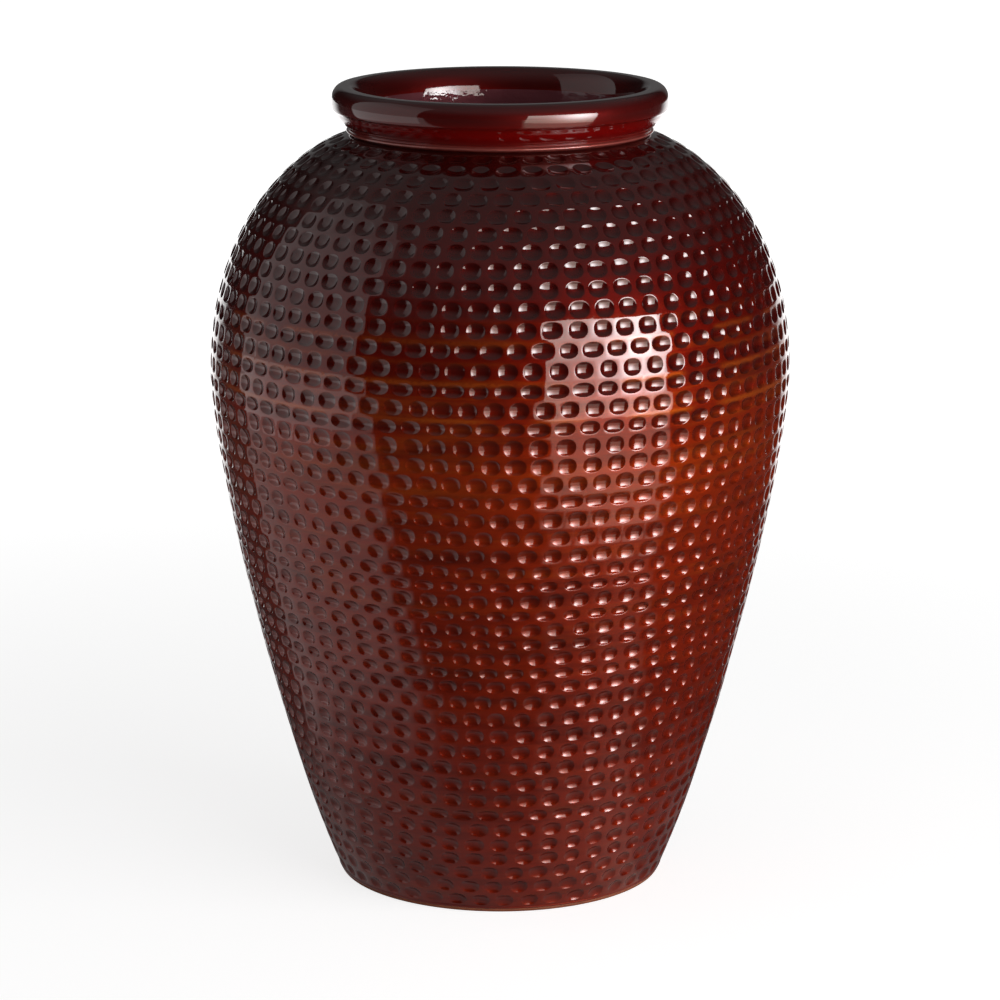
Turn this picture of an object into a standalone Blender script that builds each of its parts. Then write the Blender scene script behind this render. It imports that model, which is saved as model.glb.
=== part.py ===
"""Dimpled ceramic jar with a rolled rim, thrown in sections that are luted together.

Metres, +Z up. The origin is the middle of the foot, on the surface that the jar stands on.
"""

import math

import bmesh
import bpy
from mathutils import Matrix, Vector
from mathutils.geometry import interpolate_bezier

MM = 0.001

# Outer side of the wall, between the dimples: one curve from foot to belly, one from belly to neck
FOOT_RADIUS = 93.3 * MM
FOOT_FLARE = math.radians(24.9)  # lean of the wall from upright, at the floor
FOOT_SWEEP = 65.8 * MM  # how far that lean carries up the wall
BELLY_RADIUS = 165.4 * MM
BELLY_HEIGHT = 296.8 * MM
BELLY_SWEEP_DOWN = 58.9 * MM  # how far the wall stays upright under the widest point
BELLY_SWEEP_UP = 75.0 * MM  # and above it
NECK_RADIUS = 84.3 * MM
NECK_RISE = 133.7 * MM  # from the widest point up to the neck
NECK_HEIGHT = BELLY_HEIGHT + NECK_RISE
NECK_SLOPE = math.radians(15.1)  # slope of the shoulder where the neck starts
NECK_SWEEP = 39.5 * MM
WALL = 8.0 * MM

# Seams between the thrown sections, measured along the wall
FOOT_WALL_LENGTH = 73.0 * MM  # up from the floor
LOWER_WALL_LENGTH = 74.0 * MM  # up from the foot's section
BELLY_SEAM_BELOW = 80.4 * MM  # down from the widest point
MIDDLE_SEAM_BELOW = 29.0 * MM  # down from the widest point
SHOULDER_SEAM_ABOVE = 22.6 * MM  # up from the widest point
SLOPE_WALL_LENGTH = 43.0 * MM  # down from the crown's section
CROWN_WALL_LENGTH = 58.3 * MM  # down from the neck
LAP = 6.0 * MM  # height of the step that a seam is luted on
GAP = 0.3 * MM  # slip between two luted faces

# Dimples, pressed in rows round the wall
DIMPLE_DEPTH = 1.1 * MM
DIMPLE_PITCH = 13.7 * MM
ROW_SPACING = 10.3 * MM
WAIST_ROW_SPACING = 8.6 * MM
FOOT_MARGIN = 3.6 * MM  # plain wall below the first row
NECK_MARGIN = 5.5 * MM  # plain wall above the last row
CROWDING_RATIO = 0.07  # how far dimples may crowd or spread before a row changes their number
ROW_TURN = 0.38  # share of a dimple's pitch that each group of rows is turned by

# Foot ring, and the floor that lies on it inside the wall
FOOT_BAND = 1.8 * MM  # height of the bare edge under the glaze
FOOT_LEDGE = 4.2 * MM  # width of the ledge that carries the wall
FOOT_RING_HEIGHT = 6.0 * MM
FOOT_RING_WIDTH = 14.0 * MM
FLOOR_THICKNESS = 9.0 * MM
FLOOR_BOTTOM = FOOT_RING_HEIGHT + GAP
FLOOR_TOP = FLOOR_BOTTOM + FLOOR_THICKNESS

# Collar between shoulder and rim, with a bead round it
COLLAR_WALL = 6.8 * MM
NECK_BORE = NECK_RADIUS - COLLAR_WALL
COLLAR_HEIGHT = 2.8 * MM
BEAD_RISE = 1.8 * MM  # how far the bead stands out from the neck
TONGUE = 3.4 * MM  # thickness of the collar's tongue inside the rim
TONGUE_HEIGHT = 4.5 * MM

# Rolled rim
RIM_HEIGHT = 23.1 * MM  # from the collar up to the crest
RIM_OVERHANG = 11.0 * MM  # how far the widest line stands out from the neck
CREST_SETBACK = 10.2 * MM  # from the widest line in to the crest's inner edge
ROLL_WIDTH = 5.8 * MM  # how far the outer roll turns in from the widest line
RIM_ROLL_DROP = 8.2 * MM  # from the crest down to the widest line
CREASE_DROP = 13.0 * MM  # from the crest down to the crease under the roll
CREASE_SETBACK = 1.1 * MM  # from the widest line in to the crease
CREASE_DEPTH = 0.6 * MM
UNDERSIDE_REACH = 1.1 * MM  # how far the underside's foot stands out from the neck
UNDERSIDE_BULGE = 0.9 * MM
MOUTH_FLARE = 1.1 * MM  # how far the mouth opens past the collar's bore
MOUTH_ROLL_DROP = 6.5 * MM

# Fineness
OUTLINE_SAMPLES = 160
TURN_STEPS = 32
BEAD_STEPS = 6
OUTER_ROLL_STEPS = 6
UNDERSIDE_STEPS = 4
MOUTH_ROLL_STEPS = 4
HALVINGS = 40  # of the range in which a height is looked for
INNER_STEP = 26.0 * MM
MERGE_DISTANCE = 0.1 * MM
SHARP_ANGLE = math.radians(50.0)

COLLECTION = "dimpled_jar"


def sampled_outline():
    """The wall's outer side from the floor to the neck, as (radius, height) points."""
    foot = Vector((FOOT_RADIUS, 0.0))
    belly = Vector((BELLY_RADIUS, BELLY_HEIGHT))
    neck = Vector((NECK_RADIUS, NECK_HEIGHT))
    foot_lean = Vector((math.sin(FOOT_FLARE), math.cos(FOOT_FLARE)))
    neck_slope = Vector((math.cos(NECK_SLOPE), -math.sin(NECK_SLOPE)))
    upright = Vector((0.0, 1.0))
    lower = interpolate_bezier(
        foot, foot + foot_lean * FOOT_SWEEP, belly - upright * BELLY_SWEEP_DOWN, belly, OUTLINE_SAMPLES
    )
    upper = interpolate_bezier(
        belly, belly + upright * BELLY_SWEEP_UP, neck + neck_slope * NECK_SWEEP, neck, OUTLINE_SAMPLES
    )
    return lower + upper[1:]


def arc_lengths(points):
    """Distance along the outline of each of its points, starting at the floor."""
    lengths = [0.0]
    for before, after in zip(points, points[1:]):
        lengths.append(lengths[-1] + (after - before).length)
    return lengths


OUTLINE = sampled_outline()
ARCS = arc_lengths(OUTLINE)
NECK_ARC = ARCS[-1]
BELLY_ARC = ARCS[OUTLINE_SAMPLES - 1]


def inward(index):
    """Unit normal at one of the outline's points, into the wall."""
    along = OUTLINE[min(index + 1, len(OUTLINE) - 1)] - OUTLINE[max(index - 1, 0)]
    return Vector((-along.y, along.x)).normalized()


def wall_point(arc, depth=0.0):
    """(radius, height) of the point that lies depth inside the wall at a distance along it."""
    index = 0
    while index < len(ARCS) - 2 and ARCS[index + 1] < arc:
        index += 1
    share = (arc - ARCS[index]) / (ARCS[index + 1] - ARCS[index])
    outer = OUTLINE[index].lerp(OUTLINE[index + 1], share)
    return outer + inward(index).lerp(inward(index + 1), share) * depth


def arc_at_height(height, depth=0.0):
    """Distance along the wall at which the line that lies depth inside it is this high."""
    low, high = -WALL, BELLY_ARC
    for _ in range(HALVINGS):
        middle = (low + high) / 2
        if wall_point(middle, depth).y < height:
            low = middle
        else:
            high = middle
    return low


def glaze(name, colour, roughness):
    material = bpy.data.materials.new(name)
    material.use_nodes = True
    shader = material.node_tree.nodes["Principled BSDF"]
    shader.inputs["Base Color"].default_value = (*colour, 1.0)
    shader.inputs["Roughness"].default_value = roughness
    shader.inputs["Metallic"].default_value = 0.0
    return material


def add_part(collection, name, mesh, material):
    mesh.materials.append(material)
    part = bpy.data.objects.new(name, mesh)
    collection.objects.link(part)
    return part


def ring(bm, point, steps, turn=0.0):
    """A level circle of edges through a (radius, height) point."""
    place = Matrix.Translation((0.0, 0.0, point.y)) @ Matrix.Rotation(turn, 4, "Z")
    verts = bmesh.ops.create_circle(bm, radius=point.x, segments=steps, matrix=place)["verts"]
    return list({edge for vert in verts for edge in vert.link_edges})


def bridge(bm, ring_a, ring_b):
    """Faces between two circles that lie at different heights."""
    return bmesh.ops.bridge_loops(bm, edges=ring_a + ring_b)["faces"]


def carry_on(bm, edges, point):
    """Carry the surface on from a circle to the circle through another (radius, height) point."""
    new = bmesh.ops.extrude_edge_only(bm, edges=edges)["geom"]
    for vert in (element for element in new if isinstance(element, bmesh.types.BMVert)):
        vert.co.xy = vert.co.xy.normalized() * point.x
        vert.co.z = point.y
    return [element for element in new if isinstance(element, bmesh.types.BMEdge)]


def dimple_groups(first, last, spacing):
    """Neighbouring rows with one number of dimples: (lower arc, upper arc, rows, dimples a row)."""
    rows = max(1, round((last - first) / spacing))
    step = (last - first) / rows
    groups = []
    for row in range(rows):
        low = first + row * step
        ideal = math.tau * wall_point(low + step / 2).x / DIMPLE_PITCH
        if groups and abs(ideal - groups[-1][3]) <= CROWDING_RATIO * ideal:
            groups[-1][1] = low + step
            groups[-1][2] += 1
        else:
            groups.append([low, low + step, 1, round(ideal)])
    return groups


def inner_arcs(first, last, floor_arc):
    """Distances along the wall of the rings on its inside, from the top down."""
    lowest = first if floor_arc is None else floor_arc
    rows = max(1, round((last - lowest) / INNER_STEP))
    arcs = [lowest + (last - lowest) * row / rows for row in range(rows - 1, 0, -1)]
    return arcs if floor_arc is None else arcs + [floor_arc]


def wall_section(collection, name, material, lower_edge, upper_edge, first, last, spacing, floor_arc=None):
    """A ring of wall with dimples outside.

    lower_edge runs from the inside out and upper_edge from the outside in, as (radius, height)
    points. first and last are the distances along the wall that the dimples fill. floor_arc is
    where the top of the floor meets the inside, in the section that has the floor.
    """
    bm = bmesh.new()
    bottom = ring(bm, lower_edge[0], TURN_STEPS)
    top = bottom
    for point in lower_edge[1:]:
        top = carry_on(bm, top, point)
    dimples = []
    for number, (low, high, rows, count) in enumerate(dimple_groups(first, last, spacing)):
        turn = number * ROW_TURN * math.tau / count
        low, high = low + GAP, high - GAP
        for row in range(rows + 1):
            below, top = top, ring(bm, wall_point(low + (high - low) * row / rows), count, turn)
            faces = bridge(bm, below, top)
            if row:
                dimples += faces
    below, top = top, ring(bm, upper_edge[0], TURN_STEPS)
    bridge(bm, below, top)
    inside = [wall_point(arc, WALL) for arc in inner_arcs(first, last, floor_arc)]
    for point in upper_edge[1:] + inside:
        top = carry_on(bm, top, point)
    bridge(bm, top, bottom)
    bmesh.ops.recalc_face_normals(bm, faces=bm.faces)
    bmesh.ops.poke(bm, faces=dimples, offset=-DIMPLE_DEPTH, center_mode="MEAN")
    mesh = bpy.data.meshes.new(name)
    bm.to_mesh(mesh)
    bm.free()
    mesh.shade_smooth()
    mesh.set_sharp_from_angle(angle=SHARP_ANGLE)
    return add_part(collection, name, mesh, material)


def seam_top(arc):
    """Stepped top edge of the section below a seam: its inner half stands up inside the next."""
    low, high = arc - GAP / 2, arc + LAP - GAP / 2
    middle = (WALL + GAP) / 2
    return [wall_point(low), wall_point(low, middle), wall_point(high, middle), wall_point(high, WALL)]


def seam_bottom(arc):
    """Stepped bottom edge of the section above a seam."""
    low, high = arc + GAP / 2, arc + LAP + GAP / 2
    middle = (WALL - GAP) / 2
    return [wall_point(high, WALL), wall_point(high, middle), wall_point(low, middle), wall_point(low)]


def foot_edge():
    """Bottom edge of the lowest section, stepped over the foot ring."""
    band_top = FOOT_BAND + GAP
    ledge_radius = wall_point(arc_at_height(FOOT_BAND)).x - FOOT_LEDGE + GAP
    return [
        wall_point(arc_at_height(FLOOR_BOTTOM, WALL), WALL),
        Vector((ledge_radius, FLOOR_BOTTOM)),
        Vector((ledge_radius, band_top)),
        wall_point(arc_at_height(band_top)),
    ]


def neck_edge():
    """Top edge of the highest section: a level seat round the opening."""
    opening = wall_point(NECK_ARC, WALL)
    return [wall_point(NECK_ARC), Vector((opening.x, NECK_HEIGHT)), opening]


def turned(collection, name, material, profile, closed=True):
    """A turned piece from (radius, height) points that run down its outer side."""
    mesh = bpy.data.meshes.new(name)
    edges = [(i, i + 1) for i in range(len(profile) - 1)]
    if closed:
        edges.append((len(profile) - 1, 0))
    mesh.from_pydata([(point[0], 0.0, point[1]) for point in profile], edges, [])
    part = add_part(collection, name, mesh, material)
    screw = part.modifiers.new("Turn", "SCREW")
    screw.axis = "Z"
    screw.angle = math.tau
    screw.steps = screw.render_steps = TURN_STEPS
    screw.use_merge_vertices = True
    screw.merge_threshold = MERGE_DISTANCE
    screw.use_smooth_shade = True
    return part


def arc_points(centre, across, up, start, turn, steps):
    """Points of an elliptical arc about a (radius, height) centre, without its first point."""
    angles = [start + turn * step / steps for step in range(1, steps + 1)]
    return [(centre[0] + across * math.cos(a), centre[1] + up * math.sin(a)) for a in angles]


def foot_ring(collection, material):
    band = wall_point(arc_at_height(FOOT_BAND))
    shoulder = band.x - FOOT_LEDGE
    inside = FOOT_RADIUS - FOOT_RING_WIDTH
    profile = [
        (shoulder, FOOT_RING_HEIGHT),
        (shoulder, FOOT_BAND),
        (band.x, FOOT_BAND),
        (FOOT_RADIUS, 0.0),
        (inside, 0.0),
        (inside, FOOT_RING_HEIGHT),
    ]
    return turned(collection, "foot_ring", material, profile)


def floor_slab(collection, material):
    bottom_radius = wall_point(arc_at_height(FLOOR_BOTTOM, WALL), WALL).x - GAP
    top_radius = wall_point(arc_at_height(FLOOR_TOP, WALL), WALL).x - GAP
    profile = [(0.0, FLOOR_TOP), (top_radius, FLOOR_TOP), (bottom_radius, FLOOR_BOTTOM), (0.0, FLOOR_BOTTOM)]
    return turned(collection, "floor_slab", material, profile, closed=False)


def neck_collar(collection, material):
    """Collar with a bead; a spigot fits in the shoulder's opening and a tongue in the rim."""
    seat = NECK_HEIGHT + GAP
    top = seat + COLLAR_HEIGHT
    spigot = wall_point(NECK_ARC, WALL).x - GAP
    spigot_foot = wall_point(NECK_ARC, WALL).y
    tongue = NECK_BORE + TONGUE
    bead_centre = (NECK_RADIUS, seat + COLLAR_HEIGHT / 2)
    bead = arc_points(bead_centre, BEAD_RISE, COLLAR_HEIGHT / 2, math.pi / 2, -math.pi, BEAD_STEPS)
    profile = [
        (tongue, top + TONGUE_HEIGHT),
        (tongue, top),
        (NECK_RADIUS, top),
        *bead,
        (spigot, seat),
        (spigot, spigot_foot),
        (NECK_BORE, spigot_foot),
        (NECK_BORE, top + TONGUE_HEIGHT),
    ]
    return turned(collection, "neck_collar", material, profile)


def rolled_rim(collection, material):
    foot = NECK_HEIGHT + GAP + COLLAR_HEIGHT + GAP
    groove = NECK_BORE + TONGUE + GAP
    groove_top = foot + TONGUE_HEIGHT
    crest = foot + RIM_HEIGHT
    widest_radius = NECK_RADIUS + RIM_OVERHANG
    crest_radius = widest_radius - CREST_SETBACK
    roll_centre = widest_radius - ROLL_WIDTH
    crease_radius = widest_radius - CREASE_SETBACK
    mouth_radius = NECK_BORE + MOUTH_FLARE
    widest = crest - RIM_ROLL_DROP
    crease = crest - CREASE_DROP
    mouth_roll = crest - MOUTH_ROLL_DROP
    outer_roll = arc_points(
        (roll_centre, widest), ROLL_WIDTH, RIM_ROLL_DROP, math.pi / 2, -math.pi / 2, OUTER_ROLL_STEPS
    )
    mouth = arc_points(
        (crest_radius, mouth_roll), crest_radius - mouth_radius, MOUTH_ROLL_DROP,
        math.pi, -math.pi / 2, MOUTH_ROLL_STEPS,
    )
    under_roll = [
        ((widest_radius * 2 + crease_radius) / 3, (widest + crease * 2) / 3),
        (crease_radius, crease),
    ]
    underside_top = Vector((crease_radius - CREASE_DEPTH, crease - CREASE_DEPTH))
    underside_foot = Vector((NECK_RADIUS + UNDERSIDE_REACH, foot))
    slope = (underside_foot - underside_top).normalized()
    bulge = Vector((-slope.y, slope.x)) * UNDERSIDE_BULGE
    shares = [step / UNDERSIDE_STEPS for step in range(UNDERSIDE_STEPS + 1)]
    underside = [
        underside_top.lerp(underside_foot, share) + bulge * math.sin(math.pi * share) for share in shares
    ]
    profile = [
        (crest_radius, crest),
        (roll_centre, crest),
        *outer_roll,
        *under_roll,
        *underside,
        (groove, foot),
        (groove, groove_top),
        (NECK_BORE, groove_top),
        (mouth_radius, mouth_roll),
        *mouth[:-1],
    ]
    return turned(collection, "rolled_rim", material, profile)


def wall(collection, glazes):
    """The wall's sections, from the foot up."""
    lower_seam = FOOT_WALL_LENGTH
    waist_seam = lower_seam + LOWER_WALL_LENGTH
    belly_seam = BELLY_ARC - BELLY_SEAM_BELOW
    middle_seam = BELLY_ARC - MIDDLE_SEAM_BELOW
    shoulder_seam = BELLY_ARC + SHOULDER_SEAM_ABOVE
    crown_seam = NECK_ARC - CROWN_WALL_LENGTH
    slope_seam = crown_seam - SLOPE_WALL_LENGTH

    wall_section(
        collection, "foot_wall", glazes["brown_glaze"], foot_edge(), seam_top(lower_seam),
        FOOT_MARGIN, lower_seam - GAP, ROW_SPACING, arc_at_height(FLOOR_TOP, WALL),
    )
    for name, colour, low, high, spacing in (
        ("lower_wall", "brown_glaze", lower_seam, waist_seam, ROW_SPACING),
        ("waist_wall", "maroon_glaze", waist_seam, belly_seam, WAIST_ROW_SPACING),
        ("belly_wall", "red_glaze", belly_seam, middle_seam, ROW_SPACING),
        ("upper_belly_wall", "red_glaze", middle_seam, shoulder_seam, ROW_SPACING),
        ("shoulder_wall", "maroon_glaze", shoulder_seam, slope_seam, ROW_SPACING),
        ("slope_wall", "maroon_glaze", slope_seam, crown_seam, ROW_SPACING),
    ):
        wall_section(
            collection, name, glazes[colour], seam_bottom(low), seam_top(high), low + GAP, high - GAP, spacing
        )
    wall_section(
        collection, "crown_wall", glazes["dark_glaze"], seam_bottom(crown_seam), neck_edge(),
        crown_seam + GAP, NECK_ARC - NECK_MARGIN, ROW_SPACING,
    )


def build():
    for old in list(bpy.data.objects):
        bpy.data.objects.remove(old)
    parts = bpy.data.collections.new(COLLECTION)
    bpy.context.scene.collection.children.link(parts)

    glazes = {
        "bare_clay": glaze("bare_clay", (0.30, 0.10, 0.035), 0.7),
        "inner_glaze": glaze("inner_glaze", (0.030, 0.010, 0.010), 0.25),
        "dark_glaze": glaze("dark_glaze", (0.045, 0.010, 0.011), 0.12),
        "maroon_glaze": glaze("maroon_glaze", (0.075, 0.012, 0.010), 0.12),
        "red_glaze": glaze("red_glaze", (0.14, 0.022, 0.007), 0.12),
        "brown_glaze": glaze("brown_glaze", (0.10, 0.018, 0.010), 0.12),
        "rim_glaze": glaze("rim_glaze", (0.040, 0.008, 0.009), 0.1),
        "collar_glaze": glaze("collar_glaze", (0.10, 0.006, 0.005), 0.1),
    }
    foot_ring(parts, glazes["bare_clay"])
    floor_slab(parts, glazes["inner_glaze"])
    wall(parts, glazes)
    neck_collar(parts, glazes["collar_glaze"])
    rolled_rim(parts, glazes["rim_glaze"])


build()
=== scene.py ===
"""Dimpled jar in dark red glaze, on a pale floor in soft studio light. Metres, +Z up."""

import math
from collections import namedtuple

import bmesh
import bpy
import numpy as np
from mathutils import Matrix, Vector
from mathutils.geometry import interpolate_bezier


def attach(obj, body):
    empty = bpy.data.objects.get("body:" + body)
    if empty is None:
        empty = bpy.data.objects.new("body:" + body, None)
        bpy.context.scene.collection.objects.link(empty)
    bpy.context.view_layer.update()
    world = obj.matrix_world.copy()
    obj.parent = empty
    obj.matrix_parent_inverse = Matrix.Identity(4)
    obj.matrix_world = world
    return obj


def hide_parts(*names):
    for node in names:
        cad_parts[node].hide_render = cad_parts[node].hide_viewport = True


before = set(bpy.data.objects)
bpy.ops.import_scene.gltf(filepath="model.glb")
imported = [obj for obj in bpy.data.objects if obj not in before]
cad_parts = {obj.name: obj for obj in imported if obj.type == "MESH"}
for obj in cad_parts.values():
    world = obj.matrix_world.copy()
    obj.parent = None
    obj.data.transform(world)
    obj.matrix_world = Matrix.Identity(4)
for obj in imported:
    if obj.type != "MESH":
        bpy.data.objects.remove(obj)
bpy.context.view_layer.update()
MM = 0.001  # the jar's own sizes are in millimetres, and a piece is scaled when it is finished
JAR_HEIGHT = 0.457  # metres, as the materials read it

# Outer side of the wall between the dimples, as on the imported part
FOOT_RADIUS = 93.3
FOOT_FLARE = math.radians(24.9)
FOOT_SWEEP = 65.8
BELLY_RADIUS = 165.4
BELLY_HEIGHT = 296.8
BELLY_SWEEP_DOWN = 58.9
BELLY_SWEEP_UP = 75.0
NECK_RADIUS = 84.3
NECK_HEIGHT = 430.5
NECK_SLOPE = math.radians(15.1)
NECK_SWEEP = 39.5
WALL = 8.0
CURVE_POINTS = 400  # on each of the outline's two curves
NEAR_FOOT = 60  # of these points, enough to pass the floor

# Seams between the thrown sections, along the wall
FOOT_WALL_LENGTH = 73.0
LOWER_WALL_LENGTH = 74.0
BELLY_SEAM_BELOW = 80.4
MIDDLE_SEAM_BELOW = 29.0
SHOULDER_SEAM_ABOVE = 22.6
SLOPE_WALL_LENGTH = 43.0
CROWN_WALL_LENGTH = 58.3
WALL_SLOTS = {
    "foot_wall": "brown_glaze",
    "lower_wall": "brown_glaze",
    "waist_wall": "maroon_glaze",
    "belly_wall": "red_glaze",
    "upper_belly_wall": "red_glaze",
    "shoulder_wall": "maroon_glaze",
    "slope_wall": "maroon_glaze",
    "crown_wall": "dark_glaze",
}

# Dimples
DIMPLE_PITCH = 13.7
DIMPLE_HALF_WIDTH = 5.5
JOINED_HALF_WIDTH = 6.2  # the most in a smeared row
DIMPLE_DEPTH = 1.5
DIMPLE_FLATNESS = 2.2  # 2 for a round bowl, more for a flatter bottom and steeper sides
DIMPLE_SQUARENESS = 2.3  # exponent of the dimple's outline, 2 for an ellipse
DIMPLE_EDGE = 0.12  # how softly the wall runs down into a dimple
DIMPLE_FILL = 0.92  # share of its row's height that a dimple takes up
DEPTH_ALONG_WALL = ((180.0, 270.0), (1.15, 1.0))  # places along the wall, and the factors there
SIZE_ALONG_WALL = ((40.0, 140.0, 235.0, 265.0), (0.96, 0.94, 0.93, 1.0))
SEED = 11

# How uneven the hand left the dimples: lowest and highest factor, or usual size and limit
DEPTH_SPREAD = (0.85, 1.1)
WIDTH_SPREAD = (0.9, 1.07)
HEIGHT_SPREAD = (0.95, 1.0)
SIDE_SHIFT = 0.3
SIDE_SHIFT_LIMIT = 0.6
UP_SHIFT = 0.12
UP_SHIFT_LIMIT = 0.15
BOTTOM_LEAN = 0.1

# Rows of dimples
ROW_SPACING = 10.3
WAIST_ROW_SPACING = 8.6
ROW_WANDER = 0.7
WAIST_PAIRING = 1.1  # how much closer two waist rows lie than the next two
ROW_GAP = 0.3  # strip of plain wall between two rows of cells
FOOT_MARGIN = 3.6
NECK_MARGIN = 3.2
CELL = 10  # faces across a dimple's cell
RING_SHARES = (0.0, 0.4, 0.72, 0.93, 1.04)  # rings of a dimple's cell, as shares of the dimple
SLOPE_STEP = 0.04  # the skin's slope is read over twice this distance
INSIDE_STEP = 8.0  # between the circles of the smooth inside
INSIDE_STARTS = WALL / 3  # this far in, the inner glaze starts on a seam

# Ridges that a finger dragged over the dimples, and the waviness of the wall
RIDGE_WIDTH = 1.1
RIDGE_RISE = 0.6
RIDGE_ON_WALL = 0.16  # share of the rise that shows between the dimples
RIDGE_PLACE = (0.36, 0.44)  # over the row's middle, as a share of its height
PLAIN_ROW_DRAG = 0.15
SMEARED_ROWS = (6, 26, 30, 32, 34)  # rows whose dimples were dragged together, from the foot
SMEARED_DRAG = (0.75, 1.0)
SMEARED_WIDENING = (1.0, 1.3)
SMEARED_FLATTENING = 0.86
SMEARED_SHIFT = 0.3
HAND_WANDER = 0.1  # how far the wall wanders in and out
HAND_SINK = 1.5  # in wanders, so that it stays inside the jar's full size
SKIN_SINK = 0.18  # and the glazed skin lies this much further in

# Foot and floor
FOOT_BAND = 1.8
FOOT_LEDGE = 4.2
FOOT_RING_HEIGHT = 6.0
FOOT_RING_WIDTH = 14.0
FOOT_RING_EDGE = 0.5
GLAZE_TURNS_IN = 1.2  # this far over the clay band, the glazed edge starts to turn in
GLAZE_EDGE_RISE = 0.3
GLAZE_EDGE_SETBACK = 0.25
FLOOR_SEAT_SETBACK = 0.2
FLOOR_THICKNESS = 9.0
FLOOR_RIPPLE = 0.5
FLOOR_RIPPLE_TURN = 70  # radians of throwing rings from the middle to the wall
FLOOR_CIRCLES = 60
SLIP = 0.3

# Collar and rim
COLLAR_WALL = 6.8
COLLAR_HEIGHT = 2.8
BEAD_RISE = 2.3
BEAD_HEIGHT = 2.4
BEAD_SWEEP = math.pi * 0.9
BEAD_STEPS = 14
SPIGOT_BEVEL_WIDTH = 0.6
SPIGOT_BEVEL_HEIGHT = 1.0
COLLAR_INNER_GLAZE = 1.0  # the inner glaze reaches this far outside the bore
RIM_HEIGHT = 23.08
RIM_OVERHANG = 11.0
CREST_SETBACK = 10.2
ROLL_WIDTH = 5.8
RIM_ROLL_DROP = 8.2
CREASE_DROP = 13.0
CREASE_SETBACK = 1.1
CREASE_DEPTH = 0.6
UNDERSIDE_REACH = 1.1
UNDERSIDE_BULGE = 0.9
MOUTH_FLARE = 0.4
MOUTH_ROLL_DROP = 21.5
MOUTH_INNER_GLAZE = 0.6
TURN_STEPS = 256

# Camera
CAMERA_PLACE = (0.0, -2.1053, 0.7122)
CAMERA_AIM = (0.0, 0.0, 0.2173)
LENS = 135.1
SENSOR_WIDTH = 36.0

# Glaze
GLINT = 0.36
COAT_IOR = 1.58
COAT_ROUGHNESS = 0.045
RIDGE_THINNING = 1.7
WHITE = (1.0, 1.0, 1.0, 1.0)
BLACK = (0.0, 0.0, 0.0, 1.0)

# Light of the room
FLOOR_RADIUS = 9.0  # metres, as all of the room
ROOM_LEVEL = 0.01
CEILING_LEVEL = 0.17
BACKDROP_LEVEL = 0.12  # as the glaze mirrors it
FILL_LEVEL = 0.07  # light that only the glaze's own colour takes up
# Levels of the glow painted on the floor in place of reflector cards
LEFT_CARD_LEVEL = 0.46
RIGHT_CARD_LEVEL = 1.0
WINDOW_TINT = (1.16, 1.0, 0.84, 1.0)  # warm away from the window's bright spot

rng = np.random.default_rng(SEED)


# The wall's outline

def outline():
    """(radius, height) points of the wall's outer side, and the distance and outward direction at each."""
    foot = Vector((FOOT_RADIUS, 0.0))
    belly = Vector((BELLY_RADIUS, BELLY_HEIGHT))
    neck = Vector((NECK_RADIUS, NECK_HEIGHT))
    foot_lean = Vector((math.sin(FOOT_FLARE), math.cos(FOOT_FLARE)))
    neck_slope = Vector((math.cos(NECK_SLOPE), -math.sin(NECK_SLOPE)))
    upright = Vector((0.0, 1.0))
    lower = interpolate_bezier(
        foot, foot + foot_lean * FOOT_SWEEP, belly - upright * BELLY_SWEEP_DOWN, belly, CURVE_POINTS
    )
    upper = interpolate_bezier(
        belly, belly + upright * BELLY_SWEEP_UP, neck + neck_slope * NECK_SWEEP, neck, CURVE_POINTS
    )
    points = np.array(lower + upper[1:])
    steps = np.linalg.norm(np.diff(points, axis=0), axis=1)
    arcs = np.concatenate([[0.0], np.cumsum(steps)])
    along = np.gradient(points, arcs, axis=0)
    outward = np.stack([along[:, 1], -along[:, 0]], axis=1)
    return points, arcs, outward / np.linalg.norm(outward, axis=1)[:, None], arcs[CURVE_POINTS - 1]


POINTS, ARCS, OUTWARD, BELLY_ARC = outline()
NECK_ARC = ARCS[-1]


def radius_and_height(arc, lift=0.0):
    """Radius and height of the point that stands lift outside the wall, at a distance along it."""
    radius = np.interp(arc, ARCS, POINTS[:, 0]) + np.interp(arc, ARCS, OUTWARD[:, 0]) * lift
    height = np.interp(arc, ARCS, POINTS[:, 1]) + np.interp(arc, ARCS, OUTWARD[:, 1]) * lift
    return radius, height


def inner_radius(height):
    """Radius of the wall's inner side at a height near the floor."""
    radii, heights = radius_and_height(ARCS[:NEAR_FOOT], -WALL)
    return float(np.interp(height, heights, radii))


def skin_points(turn, arc, lift):
    radius, height = radius_and_height(arc, lift)
    return np.stack([radius * np.cos(turn), radius * np.sin(turn), height], axis=1)


# The wall's surface

def wave_settings(count, waves_round, waves_along, seed):
    """Settings of a sum of gentle waves round and along the wall."""
    draw = np.random.default_rng(seed)
    round_ = draw.integers(waves_round[0], waves_round[1] + 1, count)
    along = draw.uniform(*waves_along, count) * draw.choice([-1, 1], count)
    return list(zip(round_, along, draw.uniform(0, math.tau, count)))


HAND_WAVES = wave_settings(count=14, waves_round=(2, 16), waves_along=(0.01, 0.13), seed=3)
DRAG_WAVES = wave_settings(count=8, waves_round=(3, 23), waves_along=(0.0, 0.06), seed=5)
DRAG_USUAL = 0.8  # lifts the drag waves, so that a ridge fades in only a few places


def waves(settings, turn, arc):
    """A smooth wander between about -1 and 1."""
    total = sum(np.sin(round_ * turn + along * arc + start) for round_, along, start in settings)
    return total / math.sqrt(len(settings))


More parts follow.
